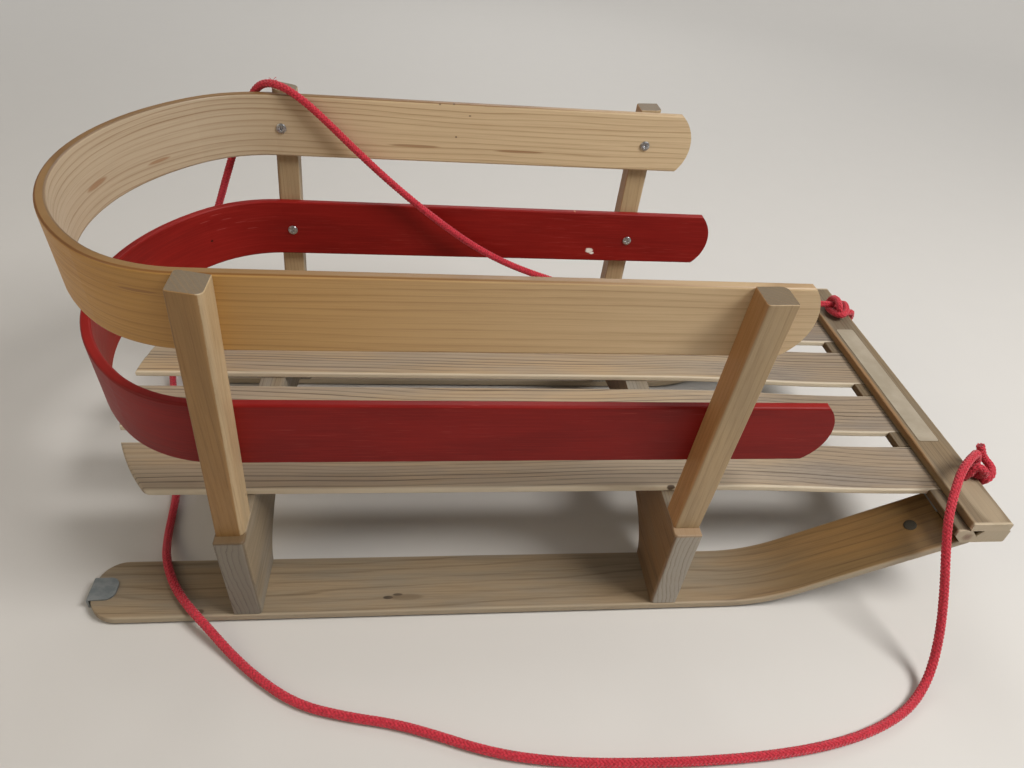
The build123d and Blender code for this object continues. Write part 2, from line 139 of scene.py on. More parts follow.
def disc_faces(rings, around):
    """The faces of a disc: a fan about point 0, and then rows of faces from ring to ring."""
    faces = [(0, 1 + i, 1 + (i + 1) % around) for i in range(around)]
    for ring in range(rings - 1):
        low, high = 1 + ring * around, 1 + (ring + 1) * around
        for i in range(around):
            j = (i + 1) % around
            faces.append((low + i, high + i, high + j, low + j))
    return faces


def surface_point(node, start_mm, direction):
    """Where a ray from start meets a CAD node, and the surface's direction there."""
    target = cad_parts[node]
    hit, place, normal, _ = target.ray_cast(Vector(start_mm) * MM, Vector(direction))
    if not hit:
        raise RuntimeError(f"no surface of {node} from {start_mm}")
    return place, normal


# Materials


class Nodes:
    """One material's nodes. Most methods add a node and give back its output."""

    def __init__(self, name):
        self.material = bpy.data.materials.new(name)
        self.material.use_nodes = True
        self.tree = self.material.node_tree
        self.tree.nodes.clear()
        output = self.add("ShaderNodeOutputMaterial")
        self.shader = self.add("ShaderNodeBsdfPrincipled")
        self.tree.links.new(self.shader.outputs["BSDF"], output.inputs["Surface"])
        coordinates = self.add("ShaderNodeTexCoord").outputs
        self.place = self.scaled(coordinates["Object"], (1 / MM,) * 3)
        self.facing = coordinates["Normal"]

    def add(self, kind, **settings):
        node = self.tree.nodes.new(kind)
        for key, value in settings.items():
            setattr(node, key, value)
        return node

    def feed(self, socket, value):
        if isinstance(value, bpy.types.NodeSocket):
            self.tree.links.new(value, socket)
        else:
            socket.default_value = value

    def math(self, operation, *values, clamp=False):
        node = self.add("ShaderNodeMath", operation=operation, use_clamp=clamp)
        for socket, value in zip(node.inputs, values):
            self.feed(socket, value)
        return node.outputs[0]

    def vector_math(self, operation, *values):
        node = self.add("ShaderNodeVectorMath", operation=operation)
        for socket, value in zip(node.inputs, values):
            self.feed(socket, value)
        return node.outputs

    def scaled(self, vector, factors):
        return self.vector_math("MULTIPLY", vector, factors)["Vector"]

    def moved(self, vector, by):
        return self.vector_math("ADD", vector, by)["Vector"]

    def length(self, vector):
        return self.vector_math("LENGTH", vector)["Value"]

    def dot(self, first, second):
        return self.vector_math("DOT_PRODUCT", first, second)["Value"]

    def split(self, vector):
        node = self.add("ShaderNodeSeparateXYZ")
        self.feed(node.inputs[0], vector)
        return node.outputs

    def noise(self, vector, scale=1.0, detail=2.0, roughness=0.5, distortion=0.0):
        node = self.add("ShaderNodeTexNoise")
        self.feed(node.inputs["Vector"], vector)
        for key, value in (
            ("Scale", scale), ("Detail", detail),
            ("Roughness", roughness), ("Distortion", distortion),
        ):
            node.inputs[key].default_value = value
        return node.outputs["Fac"]

    def step(self, value, low, high, to_low=0.0, to_high=1.0):
        """Goes smoothly from to_low to to_high as value goes from low to high."""
        node = self.add("ShaderNodeMapRange", interpolation_type="SMOOTHSTEP")
        for socket, given in zip(node.inputs, (value, low, high, to_low, to_high)):
            self.feed(socket, given)
        return node.outputs[0]

    def ramp(self, value, stops):
        node = self.add("ShaderNodeValToRGB")
        elements = node.color_ramp.elements
        while len(elements) < len(stops):
            elements.new(0.5)
        for element, (position, level) in zip(elements, stops):
            element.position = position
            element.color = (level, level, level, 1)
        self.feed(node.inputs[0], value)
        return node.outputs["Color"]

    def mix(self, share, first, second, blend="MIX"):
        """A mix of two colours. The node has sockets for other kinds too: its two colours go in
        at 6 and 7 and come out at 2."""
        node = self.add("ShaderNodeMix", data_type="RGBA", blend_type=blend)
        self.feed(node.inputs["Factor"], share)
        self.feed(node.inputs[6], first)
        self.feed(node.inputs[7], second)
        return node.outputs[2]

    def bump(self, height, strength, distance_mm):
        node = self.add("ShaderNodeBump")
        node.inputs["Strength"].default_value = strength
        node.inputs["Distance"].default_value = distance_mm * MM
        self.feed(node.inputs["Height"], height)
        return node.outputs["Normal"]

    def finish(self, **sockets):
        for name, value in sockets.items():
            self.feed(self.shader.inputs[name.replace("_", " ")], value)
        return self.material


def colour(red, green, blue):
    """A colour as seen on a screen, 0 to 255, as the shaders want it."""

    def linear(part):
        part /= 255
        return part / 12.92 if part <= 0.04045 else ((part + 0.055) / 1.055) ** 2.4

    return (linear(red), linear(green), linear(blue), 1.0)


# Colours of marks and worn edges, and then tints that the wood's own colour is multiplied by.
# The tints are painted light and shade: warm light on faces that look back, cool or plain shade
# elsewhere.
KNOT_BROWN = colour(70, 46, 28)
STREAK_BROWN = colour(140, 96, 56)
WORN = colour(190, 174, 148)
# Painted warm light: the golden tint of faces that look back, where warm light falls.
WARM_LIGHT = colour(222, 185, 108)
# Paler painted warm light, for faces that look back.
PALE_WARM_LIGHT = colour(240, 205, 168)
# Painted shade in warm light: a darker golden for faces in shadow at the rear.
WARM_SHADE = colour(199, 162, 92)
# Painted cool shade: greyer and a little blue.
COOL_SHADE = colour(209, 213, 226)
SHADED = colour(194, 190, 184)
# Painted shade on tops, which the lamp above lights most.
TOP_SHADE = colour(166, 143, 108)

AXES = {"x": 0, "y": 1, "z": 2}


def stretched(axes, along, across=1.0):
    """Factors that draw a pattern out along the named axes."""
    return tuple(along if axis in axes else across for axis in "xyz")


def edge_wear(n, fibre, axis, folds, middle, half, shade, share, base):
    """Pale worn edges where a place, folded about each number in turn, nears middle + half."""
    across = n.split(n.place)[AXES[axis]]
    for fold in folds:
        across = n.math("ABSOLUTE", n.math("SUBTRACT", across, fold))
    off = n.math("ABSOLUTE", n.math("SUBTRACT", across, middle))
    worn = n.step(n.math("MULTIPLY_ADD", fibre, 2.4, off), half - 1.0, half + 1.4, 0.0, share)
    return n.mix(worn, base, shade)


# A face looks outward where its normal points away from the part's middle, at x 0 and y 0. The
# factors bring places in millimetres near to 1.
OUTWARD = {"outward": 0.01, "inward": -0.01}


def looks(n, way):
    """1 on the faces that look one way, and 0 on the others. The way is a direction, or outward
    or inward."""
    towards = n.scaled(n.place, (OUTWARD[way], OUTWARD[way], 0)) if way in OUTWARD else way
    return n.step(n.dot(n.facing, towards), 0.3, 0.8)


def light_tinted(n, base, way, rear, front, tint=WARM_LIGHT):
    """Painted light: a warm, cool or shaded tint, multiplied in on the faces that look one way.
    rear and front are each an x and the tint's share there."""
    share = n.step(n.split(n.place)[0], rear[0], front[0], rear[1], front[1])
    return n.mix(n.math("MULTIPLY", share, looks(n, way)), base, tint, "MULTIPLY")


def spots(n, ragged, marks, base):
    """Knots, streaks, chips and a few patches of painted light and shade: soft ellipsoids, each
    (centre, radii, shade, share).
    """
    for centre, radii, shade, share in marks:
        near = n.scaled(n.moved(n.place, tuple(-c for c in centre)), tuple(1 / r for r in radii))
        off = n.math("ADD", ragged, n.length(near))
        base = n.mix(n.step(off, 1.55, 1.15, 0.0, share), base, shade)
    return base


# How dark a year ring is from its pale early wood to its dark late wood.
RING_PROFILE = [
    (0.0, 0.15), (0.07, 0.0), (0.50, 0.03), (0.76, 0.25), (0.87, 1.0), (0.95, 0.9), (1.0, 0.15),
]


def drawn_noise(n, grain, along, across, **settings):
    """Noise drawn out along the grain: its scales along it and across it, per millimetre."""
    return n.noise(n.scaled(n.place, stretched(grain, along, across)), **settings)


def year_rings(n, grain, pith, spacing, drift, wobble, quick):
    """How dark the year ring is at each place, 0 to 1, in circles about the pith."""
    slow = drawn_noise(n, grain, 0.0022, 0.014, detail=2.0)
    cross = n.scaled(n.moved(n.place, tuple(-p for p in pith)), stretched(grain, 0.0))
    distance = n.math("MULTIPLY_ADD", slow, drift, n.length(cross))
    distance = n.math("MULTIPLY_ADD", quick, wobble * 2, distance)
    ring = n.math("DIVIDE", distance, spacing)
    line = n.ramp(n.math("FRACT", ring), RING_PROFILE)
    depth = n.add("ShaderNodeTexWhiteNoise", noise_dimensions="1D")
    n.feed(depth.inputs["W"], n.math("FLOOR", ring))
    line = n.math("MULTIPLY", line, n.step(depth.outputs["Value"], 0.0, 1.0, 0.45, 1.0))
    fade = drawn_noise(n, grain, 0.005, 0.10, detail=2.0)
    return n.math("MULTIPLY", line, n.step(fade, 0.30, 0.60, 0.6, 1.0))


def sawn_shade(n, grain, line, fibre, light, dark, lines, fibres, grey, grey_share):
    """The wood's colour from its rings and fibres, with grey weathered clouds if grey is given."""
    broad = drawn_noise(n, grain, 0.006, 0.25, detail=3.0)
    share = n.math("MULTIPLY", line, lines)
    share = n.math("MULTIPLY_ADD", n.math("SUBTRACT", fibre, 0.5), fibres * 3, share)
    share = n.math("MULTIPLY_ADD", n.math("SUBTRACT", broad, 0.42), fibres * 2, share)
    share = n.math("MAXIMUM", share, 0.0, clamp=True)
    shade = n.mix(share, light, dark)
    if not grey:
        return shade
    cloud = drawn_noise(n, grain, 0.005, 0.03, detail=4.0, roughness=0.6)
    weathered = n.mix(n.math("MULTIPLY", share, 0.9), grey, dark)
    return n.mix(n.step(cloud, 0.38, 0.62, 0.0, grey_share), shade, weathered)


def sawn_ends(n, base, line, dark, axis, end_shade, end_share):
    """Another colour where the surface faces along the axis, as the board's cut ends do."""
    facing = n.math("ABSOLUTE", n.split(n.facing)[AXES[axis]])
    sawn = n.mix(n.math("MULTIPLY", line, 0.6), end_shade, dark)
    return n.mix(n.step(facing, 0.80, 0.95, 0.0, end_share), base, sawn)


def wood(
    name, light, dark, grain, pith, spacing, drift=12.0, wobble=1.2, lines=0.7, fibres=0.3,
    grey=None, grey_share=0.4, ends=None, edges=(), light_tints=(), marks=(), roughness=0.55,
    coat=0.0, groove=0.6, calm=0.0,
):
    """Sawn wood. grain names the axes that its fibres run along, and pith is a point on the
    tree's own axis, so the year rings are circles about it and lines along the board. calm is
    how much fainter the lines are on outward faces. ends is what sawn_ends takes, each tint entry,
    painted warm light or shade on the faces that look one way, is what the facing tint takes,
    each entry of edges is what edge_wear takes, and marks are for spots."""
    n = Nodes(name)
    quick = drawn_noise(n, grain, 0.010, 0.11, detail=2.0)
    fibre = drawn_noise(n, grain, 0.018, 1.3, detail=5.0, roughness=0.7)
    line = year_rings(n, grain, pith, spacing, drift, wobble, quick)
    if calm:
        line = n.math("MULTIPLY", line, n.math("MULTIPLY_ADD", looks(n, "outward"), -calm, 1.0))
    shade = sawn_shade(n, grain, line, fibre, light, dark, lines, fibres, grey, grey_share)
    if ends:
        shade = sawn_ends(n, shade, line, dark, *ends)
    # Painted light and shade, tint by tint, on the faces that look one way.
    for tint_entry in light_tints:
        shade = light_tinted(n, shade, *tint_entry)
    for edge in edges:
        shade = edge_wear(n, fibre, *edge, shade)
    ragged = n.math("MULTIPLY_ADD", quick, 0.5, n.math("MULTIPLY", fibre, 0.5))
    shade = spots(n, ragged, marks, shade)
    height = n.math("MULTIPLY_ADD", line, -groove, fibre)
    return n.finish(
        Base_Color=shade,
        Roughness=n.step(fibre, 0.2, 0.8, roughness - 0.08, roughness + 0.1),
        Normal=n.bump(height, 0.4, 0.25),
        Coat_Weight=coat, Coat_Roughness=0.25,
    )


def ski_wood():
    return wood(
        "ski_wood", colour(148, 128, 100), colour(84, 65, 43), "xz", (0, 600, 0), 8.5,
        drift=52.0, wobble=3.2, lines=0.5, fibres=0.4, grey=colour(131, 122, 106), grey_share=0.7,
        # Painted warm light: golden on the upturned front, whose top looks back.
        light_tints=[((0, 0, 1), (90, 0.0), (260, 0.85))],
        edges=[("y", (0,), 143.7, 26.3, WORN, 0.5)],
        marks=[
            ((-128, -157.5, 8.5), (4.2, 1.7, 6), colour(46, 34, 24), 0.9),
            ((-120.5, -155, 8.5), (4.6, 1.3, 6), colour(52, 38, 26), 0.85),
            ((-114, -157.5, 8.5), (15, 3.4, 6), colour(98, 80, 58), 0.5),
            ((-270, -166, 8.5), (4, 2.5, 5), KNOT_BROWN, 0.7),
        ],
    )


def bolster_wood():
    return wood(
        "bolster_wood", colour(140, 124, 100), colour(86, 70, 50), "y", (400, 0, 60), 3.4,
        drift=14.0, lines=0.55, fibres=0.4, grey=colour(133, 127, 116), grey_share=0.85,
        ends=("y", colour(168, 160, 147), 0.85),
        # Painted warm light on the front bolster's faces that look back, and painted shade on the
        # end faces towards the rear.
        light_tints=[
            ((-1, 0, 0), (-100, 0.0), (40, 1.0), PALE_WARM_LIGHT),
            ((0, -1, 0), (-200, 0.9), (60, 0.0), SHADED),
        ],
        marks=[
            # Painted shade on the ledge under the near rear post's foot.
            ((-238, -168, 98), (32, 9, 3.5), colour(98, 75, 46), 0.85),
            ((96, -168, 98), (32, 9, 3.5), colour(160, 130, 96), 0.7),
        ],
    )


def bar_wood():
    return wood(
        "bar_wood", colour(116, 96, 68), colour(66, 50, 32), "y", (500, 0, 20), 4.2,
        lines=0.6, grey=colour(98, 88, 73), grey_share=0.6,
        # Painted warm light: golden on the faces that look back.
        ends=("y", colour(126, 112, 90), 0.8), light_tints=[((-1, 0, 0), (0, 0.9), (400, 0.9))],
        edges=[("y", (), 0.0, 171.0, WORN, 0.8)],
        marks=[((322, -165, 90), (9, 9, 7), colour(104, 58, 34), 0.7)],
    )


def post_wood():
    return wood(
        "post_wood", colour(182, 157, 120), colour(128, 100, 62), "z", (500, 330, 0), 3.0,
        drift=8.0, wobble=0.8, lines=0.3, fibres=0.34, grey=colour(160, 140, 110),
        grey_share=0.55, ends=("z", colour(98, 84, 64), 0.9), coat=0.05, groove=0.3,
        # Painted warm light on the front posts' faces that look back, and painted shade in warm
        # light on the rear posts' outward faces.
        light_tints=[
            ((-1, 0, 0), (60, 0.0), (70, 1.0), PALE_WARM_LIGHT),
            ("outward", (-200, 0.8), (60, 0.1), WARM_SHADE),
        ],
        marks=[((-223, -148.5, 121), (1.1, 1.3, 1.8), colour(40, 26, 16), 0.9)],
    )


def tow_wood():
    return wood(
        "tow_wood", colour(126, 107, 80), colour(68, 53, 36), "y", (500, 0, 40), 3.6,
        lines=0.6, fibres=0.4, grey=colour(114, 104, 88), grey_share=0.65,
        # Painted warm light: golden on the faces that look back.
        ends=("y", colour(134, 120, 98), 0.8), light_tints=[((-1, 0, 0), (0, 0.9), (400, 0.9))],
        edges=[
            ("x", (0,), 338.0, 15.2, colour(160, 138, 104), 0.4),
            ("y", (), 0.0, 170.6, WORN, 0.9),
        ],
        marks=[
            ((342, -146, 104.5), (13, 36, 6), colour(168, 151, 125), 0.6),
            # Painted warm light: golden along the rear top edge.
            ((320.5, 10, 104), (4.5, 150, 6), colour(140, 96, 46), 0.6),
        ],
    )


def slat_wood():
    return wood(
        "slat_wood", colour(177, 153, 120), colour(74, 55, 36), "x", (0, 420, 30), 4.4,
        drift=38.0, wobble=1.0, lines=0.92, fibres=0.35,
        grey=colour(154, 143, 127), grey_share=0.6, ends=("x", colour(136, 121, 98), 0.6),
        # Painted cool shade on the slats' tops towards the front.
        light_tints=[((0, 0, 1), (120, 0.0), (250, 0.9), COOL_SHADE)],
        edges=[("y", (0, 68.5), 34.25, 25.3, colour(220, 206, 180), 0.85)],
        marks=[((91.3, -127.9, 102.4), (3.5, 1.4, 4), KNOT_BROWN, 0.9)],
    )


def pale_wood():
    streaks = [
        ((-341, 27, 264.5), (14, 15, 2.4)), ((-316, 89, 258), (12, 12, 1.6)),
        ((-112, 142, 259.5), (26, 6, 1.5)), ((-17, 142, 258.5), (26, 6, 1.4)),
        ((-257, -146, 284), (16, 8, 1.2)),
    ]
    dots = [
        ((-89.6, 143.5, 297), (1.2, 2, 0.8)), ((-77.4, 144, 297.6), (1.2, 2, 0.8)),
        ((-63.1, 143, 288.4), (1.4, 2, 0.9)), ((-74.8, 142.3, 269.3), (1.1, 2, 1.0)),
    ]
    return wood(
        "pale_wood", colour(214, 190, 153), colour(148, 110, 66), "xy", (0, 0, -500), 4.6,
        drift=22.0, wobble=1.6, lines=0.58, fibres=0.26, roughness=0.48, coat=0.06, groove=0.15,
        calm=0.4,
        # Painted warm light on the outward faces at the rear, painted cool shade on the inward
        # faces at the rear, and painted shade on the tops, most at the rear.
        light_tints=[
            ("outward", (-320, 1.0), (160, 0.1)), ("inward", (-300, 0.8), (-110, 0.0), COOL_SHADE),
            ((0, 0, 1), (-100, 1.0), (200, 0.3), TOP_SHADE),
        ],
        marks=[(*streak, STREAK_BROWN, 0.65) for streak in streaks]
        + [(*dot, KNOT_BROWN, 0.7) for dot in dots],
    )


def red_paint():
    n = Nodes("red_paint")
    fibre = drawn_noise(n, "xy", 0.02, 0.9, detail=4.0, roughness=0.6)
    cloud = drawn_noise(n, "xy", 0.008, 0.03, detail=3.0)
    shade = n.mix(n.step(cloud, 0.3, 0.7), colour(118, 15, 11), colour(136, 22, 17))
    shade = n.mix(n.step(fibre, 0.42, 0.70, 0.0, 0.45), shade, colour(152, 36, 30))
    scratch = drawn_noise(n, "xy", 0.04, 2.2, detail=2.0, distortion=0.3)
    where = drawn_noise(n, "xy", 0.012, 0.05, detail=1.0)
    scratch = n.math("MULTIPLY", n.step(scratch, 0.63, 0.70), n.step(where, 0.45, 0.6, 0.0, 0.5))
    shade = n.mix(scratch, shade, colour(166, 74, 66))
    ragged = n.noise(n.place, scale=0.35, detail=3.0)
    bare = colour(236, 230, 222)
    chips = [
        ((62.5, 139.2, 161.8), (3.9, 3, 3.3), bare, 1.0),
        ((65.5, 139.2, 158.6), (2.1, 3, 1.6), bare, 1.0),
        ((43, 143.8, 200.5), (1.4, 3, 1.6), colour(196, 140, 110), 0.9),
        ((-295.5, 114.5, 172.6), (1.4, 1.4, 1.1), colour(40, 10, 8), 0.9),
    ]
    fine_scratches = [
        (-290.2, 120.3, 195.9), (-282.8, 125.6, 189.6), (-272.4, 131.2, 184.1),
        (-263.3, 134.7, 176.6), (-287.0, 122.2, 181.1), (-297.8, 113.1, 192.3),
    ]
    chips += [(place, (6, 6, 0.4), colour(158, 72, 66), 0.6) for place in fine_scratches]
    return n.finish(
        Base_Color=spots(n, ragged, chips, shade), Roughness=n.step(fibre, 0.3, 0.7, 0.42, 0.5),
        Specular_IOR_Level=0.2, Normal=n.bump(fibre, 0.15, 0.2),
    )


def galvanised_steel():
    n = Nodes("runner_steel")
    cloud = n.noise(n.scaled(n.place, (0.09, 0.14, 0.12)), detail=4.0, roughness=0.6)
    fine = n.noise(n.scaled(n.place, (0.2, 1.4, 0.6)), detail=3.0)
    shade = n.mix(n.step(cloud, 0.35, 0.65), colour(112, 119, 121), colour(132, 136, 136))
    return n.finish(
        Base_Color=n.mix(n.step(fine, 0.5, 0.8, 0.0, 0.25), shade, colour(148, 152, 150)),
        Metallic=0.3, Roughness=n.step(fine, 0.3, 0.7, 0.46, 0.58), Normal=n.bump(fine, 0.08, 0.05),
    )


def rope_red(name, light, dark):
    n = Nodes(name)
    cloud = n.noise(n.place, scale=0.6, detail=3.0)
    fine = n.noise(n.place, scale=4.0, detail=2.0)
    shade = n.mix(n.step(cloud, 0.3, 0.7), dark, light)
    n.shader.inputs["Sheen Weight"].default_value = 0.25
    return n.finish(Base_Color=shade, Roughness=0.8, Normal=n.bump(fine, 0.5, 0.15))


def bright_steel():
    n = Nodes("bright_steel")
    fine = n.noise(n.place, scale=1.5, detail=3.0)
    return n.finish(
        Base_Color=n.mix(fine, colour(150, 152, 156), colour(205, 206, 208)),
        Metallic=1.0, Roughness=n.step(fine, 0.3, 0.7, 0.22, 0.4),
    )


def dark_steel():
    n = Nodes("dark_steel")
    fine = n.noise(n.place, scale=0.9, detail=4.0)
    return n.finish(
        Base_Color=n.mix(fine, colour(58, 54, 46), colour(98, 92, 80)),
        Metallic=0.7, Roughness=n.step(fine, 0.3, 0.7, 0.45, 0.65),
    )


def label_paper():
    n = Nodes("label_paper")
    fine = n.noise(n.place, scale=0.8, detail=4.0)
    cloud = n.noise(n.place, scale=0.05, detail=3.0)
    shade = n.mix(n.step(cloud, 0.3, 0.7), colour(163, 152, 134), colour(149, 138, 119))
    return n.finish(
        Base_Color=n.mix(n.step(fine, 0.45, 0.8, 0.0, 0.3), shade, colour(140, 127, 108)),
        Roughness=0.5,
    )


def mottled(n, shade):
    """A colour with slow and very faint clouds."""
    cloud = n.noise(n.place, scale=0.02, detail=2.0)
    return n.mix(cloud, shade, tuple(c * 0.98 for c in shade))


def rim_paint():
    n = Nodes("label_rim")
    return n.finish(Base_Color=mottled(n, colour(92, 76, 54)), Roughness=0.6)


# Where the backdrop's added brightness starts and is full, by the distance from the part.
GLOW_START_MM = 700
GLOW_FULL_MM = 3000
GLOW_STRENGTH = 0.42


def backdrop_paint():
    """Pale paint that the camera sees a bit brighter far out, where the lamps are weak."""
    n = Nodes("floor")
    shade = colour(206, 203, 198)
    seen = n.add("ShaderNodeLightPath").outputs["Is Camera Ray"]
    glow = n.step(n.length(n.place), GLOW_START_MM, GLOW_FULL_MM, 0.0, GLOW_STRENGTH)
    return n.finish(
        Base_Color=mottled(n, shade), Roughness=0.7,
        Emission_Color=shade, Emission_Strength=n.math("MULTIPLY", seen, glow),
    )


# The stage


def make_camera():
    camera = bpy.data.cameras.new("camera")
    camera.sensor_width = SENSOR_WIDTH
    camera.lens = CAMERA_LENS
    camera.clip_start = CLIP_START
    holder = link(bpy.data.objects.new("camera", camera))
    holder.location = CAMERA_PLACE
    holder.rotation_euler = [math.radians(a) for a in CAMERA_TURN]
    bpy.context.scene.camera = holder


# The floor's height is just under the steel strips, so that the two surfaces don't flicker.
FLOOR_HEIGHT = -0.0003
FLOOR_RADIUS = 2.2
BACKDROP_RADIUS = 3.4
BACKDROP_TOP = 4.0
BEND_RISE = 1.2
BEND_STEPS = 10
FLOOR_SIDES = 64


def make_floor():
    """A floor that bends up into a backdrop on every side."""
    profile = [(FLOOR_RADIUS, 0.0)]
    for i in range(1, BEND_STEPS + 1):
        turn = math.pi / 2 * i / BEND_STEPS
        radius = FLOOR_RADIUS + (BACKDROP_RADIUS - FLOOR_RADIUS) * math.sin(turn)
        profile.append((radius, BEND_RISE * (1 - math.cos(turn))))
    profile.append((BACKDROP_RADIUS, BACKDROP_TOP))
    points = [(0.0, 0.0, 0.0)]
    for radius, height in profile:
        points += [(x, y, height) for x, y in circle(radius, FLOOR_SIDES)]
    floor = mesh_object("floor", points, disc_faces(len(profile), FLOOR_SIDES), backdrop_paint())
    floor.location.z = FLOOR_HEIGHT


# Each lamp's name, place, aim, size, watts and colour.
LIGHTS = [
    ("key", (1.1, -0.55, 1.65), (0.05, 0, 0.1), 0.8, 35, (1.0, 0.98, 0.96)),
    ("fill", (-1.5, -0.5, 1.1), (0, 0, 0.1), 1.2, 6.2, (1.0, 0.85, 0.65)),
    ("back", (0.2, 1.7, 1.5), (0, 0, 0.1), 1.2, 11, (1.0, 1.0, 1.0)),
]
WORLD_SHADE = (0.95, 0.97, 1.0, 1.0)
WORLD_STRENGTH = 0.28


def make_light(name, place, aim, size, watts, shade):
    light = bpy.data.lights.new(name, "AREA")
    light.shape = "DISK"
    light.size = size
    light.energy = watts
    light.color = shade
    holder = link(bpy.data.objects.new(name, light))
    holder.location = place
    holder.rotation_euler = (Vector(aim) - Vector(place)).to_track_quat("-Z", "Y").to_euler()


def make_world():
    world = bpy.data.worlds.new("world")
    bpy.context.scene.world = world
    world.use_nodes = True
    background = world.node_tree.nodes["Background"]
    background.inputs["Color"].default_value = WORLD_SHADE
    background.inputs["Strength"].default_value = WORLD_STRENGTH


# The rope and its knots


def nurbs(name, routes, material, depth):
    """Smooth round cords with these control points, and the points that each runs through."""
    curve = bpy.data.curves.new(name, "CURVE")
    curve.dimensions = "3D"
    curve.resolution_u = CURVE_STEPS
    for route in routes:
        spline = curve.splines.new("NURBS")
        spline.points.add(len(route) - 1)
        for point, place in zip(spline.points, route):
            point.co = (*place, 1.0)
        spline.order_u = 3
        spline.use_endpoint_u = True
        spline.resolution_u = CURVE_STEPS
    obj = link(bpy.data.objects.new(name, curve))
    bpy.context.view_layer.update()
    read = bpy.data.meshes.new_from_object(obj)
    places = np.array([v.co for v in read.vertices], float)
    joined = {tuple(sorted(e.vertices)) for e in read.edges}
    bpy.data.meshes.remove(read)
    lines = np.split(places, [i + 1 for i in range(len(places) - 1) if (i, i + 1) not in joined])
    curve.bevel_depth = depth
    curve.bevel_resolution = BEVEL_STEPS
    curve.use_fill_caps = True
    curve.materials.append(material)
    return obj, lines


# The braid: this many strands wind each way round the core, and go over and under the others.
STRANDS = 8
BRAID_PITCH = 0.024
BRAID_STEP = 0.0012
STRAND_WIDE = 0.00098
STRAND_THICK = 0.00055
STRAND_MIDDLE = 0.00252
STRAND_WEAVE = 0.00042420
STRAND_RING = 6
FEWEST_STEPS = 8
# A direction that no cord starts along.
ASIDE = (0.3, 0.1, 1.0)


def unit(vectors):
    return vectors / np.linalg.norm(vectors, axis=-1, keepdims=True)


def evenly(line, step):
    """Distances along a line and the points at them, about a step apart."""
    gone = np.concatenate([[0.0], np.cumsum(np.linalg.norm(np.diff(line, axis=0), axis=1))])
    count = max(FEWEST_STEPS, int(round(gone[-1] / step)))
    at = np.linspace(0.0, gone[-1], count + 1)
    return at, np.column_stack([np.interp(at, gone, line[:, k]) for k in range(3)])


def carried_frames(line):
    """The way ahead at each point, and two directions across it that twist as little as can be."""
    ahead = unit(np.gradient(line, axis=0))
    side = np.cross(ahead[0], ASIDE)
    sides = []
    for way in ahead:
        side = side - way * side.dot(way)
        side /= np.linalg.norm(side)
        sides.append(side)
    sides = np.array(sides)
    return ahead, sides, np.cross(ahead, sides)


def strand(at, centre, frames, hand, number):
    """One strand of a braided cover, two over and two under: its points, ring by ring."""
    _, side, other = frames
    turn = hand * 2 * math.pi * at / BRAID_PITCH + 2 * math.pi * number / STRANDS
    crossing = hand * 2 * STRANDS * at / BRAID_PITCH + 2 * number
    out = STRAND_MIDDLE + hand * STRAND_WEAVE * np.cos(math.pi / 2 * (crossing - 0.5))
    outward = side * np.cos(turn)[:, None] + other * np.sin(turn)[:, None]
    middle = centre + outward * out[:, None]
    across = unit(np.cross(unit(np.gradient(middle, axis=0)), outward))
    rings = np.empty((len(at), STRAND_RING, 3))
    for corner in range(STRAND_RING):
        angle = 2 * math.pi * (corner + 0.5) / STRAND_RING
        wide, thick = STRAND_WIDE * math.cos(angle), STRAND_THICK * math.sin(angle)
        rings[:, corner] = middle + across * wide + outward * thick
    return rings.reshape(-1, 3)


def ring_faces(rings, first):
    """The faces between rings of points that follow each other, and two over each end."""
    row = np.arange(rings - 1)[:, None] * STRAND_RING + first
    corner = np.arange(STRAND_RING)[None, :]
    after = (corner + 1) % STRAND_RING
    around = [row + corner, row + STRAND_RING + corner, row + STRAND_RING + after, row + after]
    cap = np.array([(0, 1, 2, 3), (0, 3, 4, 5)]) + first
    far_cap = cap[:, ::-1] + (rings - 1) * STRAND_RING
    return np.concatenate([np.stack(around, axis=-1).reshape(-1, 4), cap, far_cap])


def strand_set(name, lines, hand, material):
    """Half of a braided cover: the strands that wind one way along each line."""
    points, faces, count = [], [], 0
    for line in lines:
        at, centre = evenly(line, BRAID_STEP)
        frames = carried_frames(centre)
        for number in range(STRANDS):
            points.append(strand(at, centre, frames, hand, number))
            faces.append(ring_faces(len(at), count))
            count += len(points[-1])
    points, faces = np.concatenate(points), np.concatenate(faces)
    mesh = bpy.data.meshes.new(name)
    mesh.vertices.add(len(points))
    mesh.vertices.foreach_set("co", points.astype(np.float32).ravel())
    mesh.loops.add(faces.size)
    mesh.loops.foreach_set("vertex_index", faces.astype(np.int32).ravel())
    mesh.polygons.add(len(faces))
    mesh.polygons.foreach_set("loop_start", np.arange(0, faces.size, 4, dtype=np.int32))
    mesh.update(calc_edges=True)
    mesh.polygons.foreach_set("use_smooth", [True] * len(faces))
    mesh.validate()
    mesh.materials.append(material)
    return link(bpy.data.objects.new(name, mesh))


def braided(name, routes_mm, cover, core):
    """Braided rope along some routes: its core, and the two halves of its cover."""
    routes = [metres(route) for route in routes_mm]
    inside, lines = nurbs(f"{name}_core", routes, core, CORE_RADIUS)
    pieces = [inside]
    for way, hand in (("a", 1), ("b", -1)):
        pieces.append(strand_set(f"{name}_strands_{way}", lines, hand, cover))
    for piece in pieces:
        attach(piece, "root")
    return pieces


def hitch(side):
    """Down the hole, under the bars and up in front of them; side is -1 or 1."""
    return [(x, side * HOLE_Y_MM, z) for x, z in HITCH_XZ_MM]


